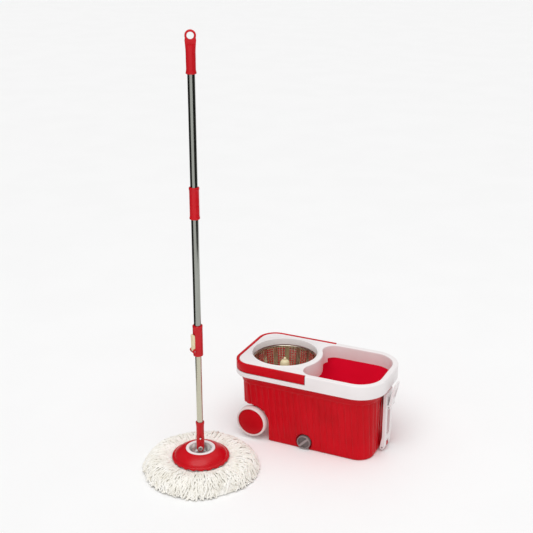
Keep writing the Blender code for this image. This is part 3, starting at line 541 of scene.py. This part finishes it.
def make_bail():
    """A flat band with rounded edges, bent round the left half of the rim."""
    radius = 0.0016
    high = edge_round(BAIL_HIGH, radius)
    low = [(BAIL_LOW + radius - (z - (BAIL_HIGH - radius)), grow) for z, grow in high[::-1]]
    levels = low + high
    outer = [[(x, y, z) for x, y in rim_outline(grow, 20)] for z, grow in levels]
    inner = [[(x, y, z) for x, y in rim_outline(BAIL_INSET - grow, 20)] for z, grow in levels]
    count, rows = len(outer[0]), len(levels)
    points = [p for loop in outer + inner for p in loop]
    faces = []
    for row in range(rows - 1):
        for i in range(count):
            j = (i + 1) % count
            a, b = row * count, (row + 1) * count
            faces.append((a + i, a + j, b + j, b + i))
            a, b = a + rows * count, b + rows * count
            faces.append((b + i, b + j, a + j, a + i))
    for i in range(count):
        j = (i + 1) % count
        top_out, top_in = (rows - 1) * count, (2 * rows - 1) * count
        faces.append((top_out + i, top_out + j, top_in + j, top_in + i))
        faces.append((rows * count + i, rows * count + j, j, i))
    bail = piece_of("bail_band", points, faces, RED)
    cut(bail, box("right_half", (BAIL_END_X, -0.2, 0.19), (0.3, 0.2, 0.27)))
    one_material(bail, RED)
    finish_piece(bail, "bail", ["bail_handle"], 50)


# ---------------------------------------------------------------- wheels, drain and basket

def make_wheels():
    for side, word in ((-1, "near"), (1, "far")):
        tyre = [(HUB_R + PLAY, 0.0016), (HUB_R + 0.0009, 0.0006), (0.0420, 0.0002), (0.0436, 0.0004),
                (0.0451, 0.0012), (0.0462, 0.0028), (WHEEL_R, 0.0052), (WHEEL_R, 0.0188), (0.0462, 0.0212),
                (0.0446, 0.0228), (0.0425, WHEEL_WIDTH), (HUB_R + PLAY, WHEEL_WIDTH - 0.001)]
        dome = [(HUB_R * math.sin(a), 0.0035 - 0.0052 * math.cos(a)) for a in
                (math.pi / 2 * i / 12 for i in range(13))]
        hub = dome + [(HUB_R, 0.0200), (0.0355, 0.0200), (0.0355, 0.0080), (0.0100, 0.0080),
                      (0.0100, 0.0240), (AXLE_R + PLAY, 0.0240), (AXLE_R + PLAY, 0.0080), (0, 0.0080)]
        for name, profile, material, node, slot in (
                ("tyre_ring_" + word, tyre, TYRE, "tyre_" + word, "white_plastic"),
                ("hub_dome_" + word, hub, RED, "hub_cap_" + word, "red_plastic")):
            flipped = [(r, side * (WHEEL_FACE - depth)) for r, depth in profile]
            piece = along_y(turned(name, flipped, material), WHEEL_X, 0, WHEEL_Z)
            finish_piece(piece, "wheel_" + word, [node], 30)


def make_drain_plug():
    """A screw cap with a hollow face, a bar across it to grip, and notches round its edge."""
    front, back, tip, shank = PLUG_FACE, DRAIN_BACK - 0.0030, -0.0840, 0.0104
    rim, hollow = CAP_R - 0.0026, PLUG_FACE + 0.0052
    profile = [(0, hollow), (rim, hollow), (rim, front + 0.0008), (rim + 0.0008, front),
               (CAP_R - 0.0008, front), (CAP_R, front + 0.0010), (CAP_R, back), (shank, back), (shank, tip),
               (0, tip)]
    plug = along_y(turned("plug_cap", profile, GREY, 72), DRAIN_X, 0, DRAIN_Z)
    axis = Matrix.Translation((DRAIN_X, 0, DRAIN_Z))
    for i in range(PLUG_NOTCHES):
        notch = cylinder_y("notch", 0.0009, CAP_R + 0.0003, 0, front - 0.001, back + 0.001, steps=10)
        cut(plug, moved(notch, axis @ Matrix.Rotation(2 * math.pi * (i + 0.37) / PLUG_NOTCHES, 4, "Y")))
    bar = box("bar", (-0.0182, front - 0.0012, -0.0030), (0.0182, front + 0.006, 0.0030))
    join(plug, moved(bar, axis @ Matrix.Rotation(-math.pi / 4, 4, "Y")))
    one_material(plug, GREY)
    # The hollow's floor faces take the darker grey: painted shade in the recess.
    plug.data.materials.append(GREY_PAINTED_SHADE)
    for face in plug.data.polygons:
        if face.normal.y < -0.9 and abs(face.center.y - hollow) < 0.00125:
            face.material_index = 1
    finish_piece(plug, "plug", ["drain_plug"], 35)


def make_basket():
    """Stamped steel bowl: bands of small square holes between plain strips, and a rolled rim."""
    bands, holes = 16, 3
    unit = 2 * math.pi / bands
    strip = 0.34 * unit
    pitch, web = (unit - strip) / holes, 0.32       # web: the share of a pitch before its hole
    edges = []          # (angle, whether the cell that starts here is a hole)
    for band in range(bands):
        start = band * unit
        for k in range(holes):
            edges.append((start + k * pitch, False))
            edges.append((start + (k + web) * pitch, True))
        edges.append((start + holes * pitch, False))
        edges.append((start + holes * pitch + web * pitch, False))
    low, high, rows = BASKET_FLOOR + 0.0055, BASKET_TOP - 0.0070, 8
    pitch, web = (high - low) / rows, 0.36
    heights = []
    for row in range(rows):
        heights.append((low + row * pitch, False))
        heights.append((low + (row + web) * pitch, True))
    heights.append((high, False))
    floor, top = BASKET_FLOOR, BASKET_TOP
    rings = [(0.0140, floor + 0.0002), (0.030, floor + 0.0002), (0.060, floor + 0.0002),
             (0.080, floor + 0.0004), (0.0838, floor + 0.0014), (0.0855, floor + 0.0036)]
    hole_row = [False] * len(rings)
    for z, is_hole in heights:
        share = (z - floor) / (top - floor)
        rings.append((BASKET_LOW_R + (BASKET_TOP_R - BASKET_LOW_R) * share - 0.0003, z))
        hole_row.append(is_hole)
    lip = arc((BASKET_TOP_R + 0.0005, top - 0.0015), 0.0014, 200, -60, 9)
    rings += [(BASKET_TOP_R - 0.0009, top - 0.0040)] + lip
    hole_row += [False] * (1 + len(lip))
    count, points, faces = len(edges), [], []
    for radius, z in rings:
        points += [(BASKET_X + radius * math.cos(a), radius * math.sin(a), z) for a, _ in edges]
    for row in range(len(rings) - 1):
        for i, (_, is_hole) in enumerate(edges):
            if is_hole and hole_row[row]:
                continue
            j = (i + 1) % count
            faces.append((row * count + i, row * count + j, (row + 1) * count + j, (row + 1) * count + i))
    basket = piece_of("basket_bowl", points, faces, SHEET)
    solid = basket.modifiers.new("sheet", "SOLIDIFY")
    solid.thickness = 0.0006
    solid.offset = -1
    finish_piece(basket, "basket", ["spin_basket"], 35)

    base = 0.1390
    profile = [(0.0044, base), (0.0125, base), (0.0125, floor - 0.001), (0.0136, floor - 0.001),
               (0.0136, floor + 0.0012), (0.0258, floor + 0.0012), (0.0262, floor + 0.0030),
               (0.0240, floor + 0.0056), (0.0208, floor + 0.0100), (0.0190, floor + 0.018),
               (0.0172, floor + 0.031), (0.0154, floor + 0.046), (0.0142, floor + 0.0555),
               (0.0134, floor + 0.0605), (0.0116, floor + 0.0645),
               (0.0088, floor + 0.0670), (0.0058, floor + 0.0681), (0.0044, floor + 0.0691),
               (0.0046, floor + 0.0713), (0.0042, floor + 0.0739), (0.0030, floor + 0.0756),
               (0.0014, floor + 0.0764), (0, floor + 0.0765), (0, floor + 0.022), (0.0044, floor + 0.022)]
    hub = moved(turned("hub_cone", profile, CREAM), Matrix.Translation((BASKET_X, 0, 0)))
    finish_piece(hub, "basket", ["basket_hub"], 30)


# ---------------------------------------------------------------- mop

MOP_PLACE = Matrix.Translation(MOP) @ Matrix.Rotation(MOP_TURN, 4, "Z")
CLAMP_PLACE = Matrix.Translation(MOP) @ Matrix.Rotation(MOP_TURN + LEVER_TURN, 4, "Z")


def mop_turned(name, profile, material, body, node):
    piece = moved(turned(name, profile, material), MOP_PLACE)
    finish_piece(piece, body, [node], 30)


def tube_profile(radius, low, high):
    return [(radius - TUBE_WALL, low), (radius - 0.0002, low), (radius, low + 0.0003),
            (radius, high - 0.0003), (radius - 0.0002, high), (radius - TUBE_WALL, high)]


def make_mop_head():
    profile = [(0.0412, 0.0665), (0.0425, 0.0671), (0.0450, 0.0667), (0.0520, 0.0641), (0.0600, 0.0600),
               (0.0660, 0.0558), (0.0700, 0.0522), (0.0722, 0.0497), (0.0730, 0.0478), (0.0738, 0.0468),
               (0.0752, 0.0468), (0.0775, 0.0466), (0.0792, 0.0456), (0.0800, 0.0440), (0.0800, 0.0385),
               (0.0778, 0.0385), (0.0778, 0.0430), (0.0740, 0.0450), (0.0706, 0.0475), (0.0570, 0.0582),
               (0.0412, 0.0636)]
    plate = turned("plate_dome", profile, MOP_RED, 240)
    for vertex in plate.data.vertices:      # a scalloped edge all round the foot
        x, y, z = vertex.co
        if math.hypot(x, y) > 0.0775 and z < 0.040:
            vertex.co.z = z + 0.0036 * (0.5 + 0.5 * math.cos(FOOT_SCALLOPS * math.atan2(y, x)))
    moved(plate, MOP_PLACE)
    finish_piece(plate, "mop_head", ["mop_plate"], 40)
    ring = [(0.0312, 0.0610), (0.0408, 0.0610), (0.0409, 0.0666), (0.0404, 0.0677), (0.0392, 0.0684),
            (0.0370, 0.0687), (0.0345, 0.0684), (0.0325, 0.0676), (0.0312, 0.0664)]
    mop_turned("dish_collar", ring, WHITE, "mop_head", "dish_ring")
    dish = [(0.0135, 0.0470), (0.0200, 0.0490), (0.0265, 0.0548), (0.0300, 0.0625), (0.0309, 0.0668),
            (0.0300, 0.0670), (0.0291, 0.0640), (0.0280, 0.0605), (0.0264, 0.0570), (0.0240, 0.0535),
            (0.0205, 0.0505), (0.0170, 0.0489), (0.0135, 0.0482)]
    mop_turned("dish_bowl", dish, CHROME, "mop_head", "center_dish")


YARN_LAYERS = ((0.0, 150), (0.35, 170), (0.7, 190), (0.9, 210), (1.0, 210))      # (level, strands)
ROLL = [(0.0700, 0.0290), (0.0800, 0.0345), (0.0900, 0.0390), (0.1030, 0.0425), (0.1170, 0.0440),
        (0.1300, 0.0420), (0.1420, 0.0365), (0.1510, 0.0280), (0.1580, 0.0170), (0.1640, 0.0070),
        (0.1700, 0.0030), (0.1900, 0.0028)]      # (radius, height) of the top of the roll of yarn


def roll_height(radius):
    """Height of the roll of yarn above the floor at this radius."""
    for (r0, z0), (r1, z1) in zip(ROLL, ROLL[1:]):
        if radius <= r1:
            t = max(0.0, (radius - r0) / (r1 - r0))
            return z0 + (z1 - z0) * t
    return ROLL[-1][1]


def strand_path(angle, level):
    """Points of one yarn: out from under the foot, over the roll, down to the floor, and curled there.

    level runs from 0, next to the floor, to 1, on top.
    """
    reach = RNG.uniform(0.152, 0.170) + 0.003 * math.sin(3 * angle + 1) + 0.002 * math.sin(7 * angle)
    start = 0.0700 + 0.004 * RNG.random()
    lift = RNG.uniform(-0.0015, 0.0020) + 0.0018 * math.sin(5 * angle + 2) + 0.0012 * math.sin(11 * angle)
    waves, swing = RNG.uniform(2.0, 5.0), RNG.uniform(0.0010, 0.0030)
    phase = RNG.uniform(0, 6.28)
    lean = RNG.uniform(-0.16, 0.16) + 0.05 * math.sin(5 * angle)
    curl = RNG.choice((-1, 1)) * RNG.uniform(0.4, 3.4)
    points, count = [], 24
    for i in range(count):
        t = i / (count - 1)
        radius = start + (reach - start) * t
        tall = roll_height(radius) - 0.003
        z = 0.003 + tall * (0.30 + 0.70 * level) + lift * min(1.0, t * 4) * min(1.0, (1 - t) * 3)
        side = swing * math.sin(waves * 2 * math.pi * t + phase) * (0.3 + t)
        side += lean * (radius - start) * t
        z += 0.5 * swing * math.cos(waves * 2 * math.pi * t + phase * 1.7) * t
        if t > 0.80:
            bend = (t - 0.80) / 0.20
            side += 0.006 * curl * bend ** 2
            radius -= 0.0035 * abs(curl) * bend ** 2
            z += 0.0025 * abs(curl) * bend * (1 - bend)
        x = radius * math.cos(angle) - side * math.sin(angle)
        y = radius * math.sin(angle) + side * math.cos(angle)
        points.append(Vector((x, y, max(z, 0.0026))))
    return points


def add_strand(points, faces, path, thick):
    """A two-ply yarn along the path: an oval that turns as it goes, so the plies show."""
    around = 7
    turn, base, last = RNG.uniform(0, 6.28), len(points), len(path) - 1
    for i, p in enumerate(path):
        ahead = (path[min(i + 1, last)] - path[max(i - 1, 0)]).normalized()
        side = ahead.cross(Vector((0, 0, 1)))
        side = side.normalized() if side.length > 1e-6 else Vector((1, 0, 0))
        up = side.cross(ahead)
        t = i / last
        size = thick * (1.0 + 0.16 * math.sin(t * 34 + turn)) * (1.0 if t < 0.96 else 0.55)
        for j in range(around):
            own = 2 * math.pi * j / around
            a = own + turn + 7.0 * t
            q = p + (side * math.cos(a) + up * math.sin(a)) * size * (1.0 + 0.20 * math.cos(2 * own))
            q.z = max(q.z, 0.0003)
            points.append(q)
    for i in range(last):
        for j in range(around):
            a, b, n = base + i * around, base + (i + 1) * around, (j + 1) % around
            faces.append((a + j, a + n, b + n, b + j))
    faces.append(tuple(base + j for j in reversed(range(around))))
    faces.append(tuple(base + last * around + j for j in range(around)))


def make_yarn():
    """Loose two-ply yarns in layers over a soft roll, which fills the space between them."""
    points, faces = [], []
    for level, number in YARN_LAYERS:
        for k in range(number):
            angle = 2 * math.pi * (k + 0.37 * level * 10 + RNG.uniform(-0.4, 0.4)) / number
            add_strand(points, faces, strand_path(angle, level), RNG.uniform(0.0019, 0.0027))
    yarn = piece_of("yarn_strands", points, faces, YARN)
    moved(yarn, MOP_PLACE)
    finish_piece(yarn, "mop_head", ["yarn"], 80)
    roll = [(0.0775, 0.004), (0.150, 0.0006), (0.1550, 0.003)]
    roll += [(r - 0.003, z - 0.0028) for r, z in ROLL[8:1:-1]] + [(0.0782, 0.0300)]
    mat = moved(turned("yarn_roll", roll, YARN, 96), MOP_PLACE)
    finish_piece(mat, "mop_head", (), 60)


def make_handle():
    socket = [(0.0089, 0.0920), (0.0089, 0.1478), (0.0095, 0.1482), (0.0114, 0.1482), (0.0119, 0.1476),
              (0.0119, 0.1425), (0.0113, 0.1402), (0.0107, 0.1300), (0.0107, 0.1150), (0.0111, 0.0980),
              (0.0112, 0.0850), (0.0108, 0.0842), (0.0, 0.0842), (0.0, 0.0920)]
    body = turned("socket_sleeve", socket, MOP_RED)
    fork = box("fork", (-0.0108, -0.0108, PIVOT_Z), (0.0108, 0.0108, 0.0900))
    join(fork, cylinder_y("round", 0.0108, 0, PIVOT_Z, -0.0108, 0.0108))
    boolean(fork, turned("barrel", [(0, 0.05), (0.0116, 0.05), (0.0116, 0.0900), (0, 0.0900)], MOP_RED),
            "INTERSECT")
    join(body, fork)
    cut(body, box("gap", (-0.02, -0.0050, 0.05), (0.02, 0.0050, 0.0835)))
    cut(body, cylinder_y("pin_bore", 0.0033, 0, PIVOT_Z, -0.02, 0.02))
    cut(body, cylinder_y("rivet_bore", 0.0026, 0, 0.1005, -0.02, -0.005))
    one_material(body, MOP_RED)
    moved(body, MOP_PLACE)
    finish_piece(body, "lower_handle", ["mop_socket"], 35)
    pin = [(0.0030, -0.0138), (0.0055, -0.0140), (0.0064, -0.0136), (0.0068, -0.0128), (0.0066, -0.0116),
           (0.0030, -0.0114), (0.0030, 0.0114), (0.0050, 0.0116), (0.0052, 0.0126), (0.0046, 0.0130),
           (0.0020, 0.0130)]
    pivot = moved(turned("pivot_stud", pin, CHROME, 40),
                  MOP_PLACE @ Matrix.Translation((0, 0, PIVOT_Z)) @ TO_Y)
    finish_piece(pivot, "lower_handle", ["pivot_pin"], 35)
    mop_turned("inner_tube", tube_profile(INNER_R, *LOWER_TUBE), TUBE_PALE, "lower_handle", "lower_tube")
    mop_turned("outer_tube_low", tube_profile(TUBE_R, *MIDDLE_TUBE), TUBE_DARK, "upper_handle",
               "middle_tube")
    mop_turned("outer_tube_high", tube_profile(TUBE_R, *UPPER_TUBE), TUBE_DARK, "upper_handle",
               "upper_tube")
    low, high, bore = 0.734, 0.819, TUBE_R + PLAY
    sleeve = [(bore, low), (0.0118, low), (0.0131, low + 0.0006), (0.0137, low + 0.002),
              (0.0137, low + 0.0050), (0.0131, low + 0.0070), (0.0127, low + 0.0095),
              (0.0127, high - 0.0095), (0.0131, high - 0.0070), (0.0137, high - 0.0050),
              (0.0137, high - 0.002), (0.0131, high - 0.0006), (0.0118, high), (bore, high)]
    mop_turned("sleeve_grip", sleeve, MOP_RED, "upper_handle", "middle_grip")
    make_clamp()
    make_top_grip()


def make_clamp():
    """Red clamp body with a cream lever in a cradle on its side."""
    low, high, radius = 0.350, 0.438, 0.0134
    lever_x, lever_z = -0.0140, 0.367
    shell = [(0, low), (radius - 0.0012, low), (radius - 0.0003, low + 0.0006), (radius, low + 0.0020),
             (radius, high - 0.0050), (radius + 0.0003, high - 0.0044), (radius + 0.0004, high - 0.0010),
             (radius - 0.0004, high), (0, high)]
    body = turned("clamp_shell", shell, MOP_RED)
    cup = arc((lever_x, lever_z), 0.0062, 90, 270, 14) + [(lever_x + 0.004, lever_z - 0.0062),
                                                         (lever_x + 0.004, lever_z + 0.0062)]
    join(body, side_prism("cup", cup, -0.0098, 0.0098))
    pocket = [(-0.030, 0.3625), (-0.0102, 0.3625), (-0.0102, 0.4150), (-0.0140, 0.4190), (-0.030, 0.4190)]
    cut(body, side_prism("pocket", pocket, -0.0070, 0.0070))
    bore = [(0, 0.3), (0.0112, 0.3), (0.0112, 0.362), (INNER_R + 0.0004, 0.362),
            (INNER_R + 0.0004, 0.4176), (TUBE_R + PLAY, 0.4176), (TUBE_R + PLAY, 0.5), (0, 0.5)]
    cut(body, turned("bore", bore, MOP_RED))
    cut(body, box("window", (-0.0150, -0.0048, 0.372), (-0.0050, 0.0048, 0.392)))
    cut(body, cylinder_y("pin_bore", 0.0018, lever_x, lever_z, -0.02, 0.02, steps=16))
    one_material(body, MOP_RED)
    moved(body, CLAMP_PLACE)
    finish_piece(body, "upper_handle", ["clamp_body"], 35)
    outline = (arc((lever_x, lever_z), 0.0034, 180, 360, 12)
               + [(-0.0106, 0.4080), (-0.0112, 0.4108), (-0.0130, 0.4126), (-0.0158, 0.4132),
                  (-0.0176, 0.4122), (-0.0182, 0.4090), (-0.0178, 0.3980), (-0.0176, 0.3800)])
    lever = side_prism("lever_flap", outline, -0.0066, 0.0066, CREAM)
    cut(lever, cylinder_y("bore", 0.0018, lever_x, lever_z, -0.02, 0.02, steps=16))
    one_material(lever, CREAM)
    rounded_edges(lever, 0.0009, 40)
    moved(lever, CLAMP_PLACE)
    finish_piece(lever, "lever", ["lock_lever"], 40)


def make_top_grip():
    low, neck, eye = 1.105, 1.168, 1.1975
    bore, top = TUBE_R + PLAY, 1.1555
    cap = [(0, low), (0.0120, low), (0.0131, low + 0.0006), (0.0136, low + 0.0018), (0.0134, low + 0.0045),
           (0.0126, low + 0.0080), (0.0121, low + 0.012), (0.0123, low + 0.028), (0.0124, neck - 0.006),
           (0.0129, neck), (0.0130, neck + 0.003), (0.0122, neck + 0.008), (0, neck + 0.008)]
    grip = turned("grip_cap", cap, MOP_RED)
    radius, depth = 0.0142, 0.0050
    loops = []
    for share in (0.0, 0.35, 0.75, 1.0):        # the eye's plate, with rounded faces
        r = radius - 0.0016 * share ** 2
        outline = arc((0, eye), r, -20, 200, 30)
        outline += [(-r, eye - 0.012), (-0.0128 + 0.0010 * share, neck + 0.002), (-0.0118, neck - 0.006),
                    (0.0118, neck - 0.006), (0.0128 - 0.0010 * share, neck + 0.002), (r, eye - 0.012)]
        loops.append((outline, depth * (0.45 + 0.55 * share)))
    levels = [(o, y) for o, y in loops[::-1]] + [(o, -y) for o, y in loops]
    plate = lofted("eye", [[(x, y, z) for x, z in outline] for outline, y in levels], MOP_RED)
    join(grip, plate)
    for turn in (-1, 1):
        cone = [(0, -0.010), (0.0108, -0.010), (0.0090, -0.0030), (0.0088, 0.0002), (0, 0.0002)]
        hole = turned("hole", [(r, z * -turn) for r, z in cone], MOP_RED, 48)
        cut(grip, along_y(hole, 0, 0, eye))
    cut(grip, turned("bore", [(0, 1.0), (bore, 1.0), (bore, top), (0, top)], MOP_RED))
    one_material(grip, MOP_RED)
    moved(grip, MOP_PLACE)
    finish_piece(grip, "upper_handle", ["top_grip"], 40)


# ---------------------------------------------------------------- CAD nodes that stay

def dress_cad_nodes():
    finishes = {
        WHITE: ("tow_frame", "tow_grip", "yarn_ring", "socket_rivet"),
        GREY: ("axle_clip_near", "axle_clip_far", "hub_nut", "pivot_yoke", "brake_shoe"),
        NYLON: ("drive_nut", "rod_anchor", "swivel_bush"),
        RUBBER: ("drain_seal",),
        RED: ("spindle_post",),
        ZINC: ("bail_pin_near", "bail_pin_far", "wheel_axle", "spindle_pin", "spin_bearing", "tow_pin",
               "grip_pin", "lever_pin", "drive_rod"),
    }
    for material, names in finishes.items():
        for name in names:
            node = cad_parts[name]
            for slot in node.material_slots:
                slot.material = material
            if not node.material_slots:
                node.data.materials.append(material)
    for name in ("tow_frame", "tow_grip"):
        rounded_edges(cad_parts[name], 0.0010, 35)


# ---------------------------------------------------------------- floor, light and camera

def area_light(name, location, target, size, power):
    data = bpy.data.lights.new(name, "AREA")
    data.shape = "RECTANGLE"
    data.size, data.size_y = size
    data.energy = power
    light = bpy.data.objects.new(name, data)
    light.location = location
    light.rotation_euler = (Vector(target) - Vector(location)).to_track_quat("-Z", "Y").to_euler()
    bpy.context.scene.collection.objects.link(light)


def make_flag(name, x, near, far, low, high):
    """A dark studio flag that only reflections see. It gives the polished tubes their dark edges."""
    flag = piece_of(name, [(x, near, low), (x, far, low), (x, far, high), (x, near, high)], [(0, 1, 2, 3)],
                    plastic(name, srgb(62, 62, 60), srgb(54, 54, 52), 0.9, gloss=0.0))
    flag.visible_camera = flag.visible_diffuse = flag.visible_shadow = False
    flag.visible_transmission = flag.visible_volume_scatter = False


def make_stage():
    half = FLOOR_HALF
    floor = piece_of("floor", [(-half, -half, 0), (half, -half, 0), (half, half, 0), (-half, half, 0)],
                     [(0, 1, 2, 3)], floor_material())
    make_flag("flag_left", -0.75, -1.5, 0.9, 0.0, 1.5)
    make_flag("flag_right", 0.55, -0.9, 1.2, 0.36, 1.5)
    data = bpy.data.lights.new("sun", "SUN")
    data.energy = SUN_POWER
    data.angle = SUN_SPREAD
    sun = bpy.data.objects.new("sun", data)
    sun.rotation_euler = (Vector((0, 0, 0)) - SUN_PLACE).to_track_quat("-Z", "Y").to_euler()
    bpy.context.scene.collection.objects.link(sun)
    area_light("top_fill", (0.1, -0.1, 1.9), (0.05, 0.0, 0.1), (0.9, 0.9), 1.5)
    world = bpy.data.worlds.new("studio")
    bpy.context.scene.world = world
    world.use_nodes = True
    background = world.node_tree.nodes["Background"]
    background.inputs["Color"].default_value = (1.0, 1.0, 1.0, 1.0)
    background.inputs["Strength"].default_value = SKY_STRENGTH


def make_camera():
    data = bpy.data.cameras.new("camera")
    data.lens = CAMERA_LENS
    data.sensor_width = 36.0
    data.clip_end = 30.0
    camera = bpy.data.objects.new("camera", data)
    camera.location = CAMERA_PLACE
    camera.rotation_euler = CAMERA_AIM.to_track_quat("-Z", "Y").to_euler()
    bpy.context.scene.collection.objects.link(camera)
    bpy.context.scene.camera = camera


make_camera()
make_stage()
dress_cad_nodes()
make_tub()
make_top_shell()
make_bail()
make_wheels()
make_drain_plug()
make_basket()
make_mop_head()
make_yarn()
make_handle()

bpy.context.scene.view_settings.view_transform = "Standard"
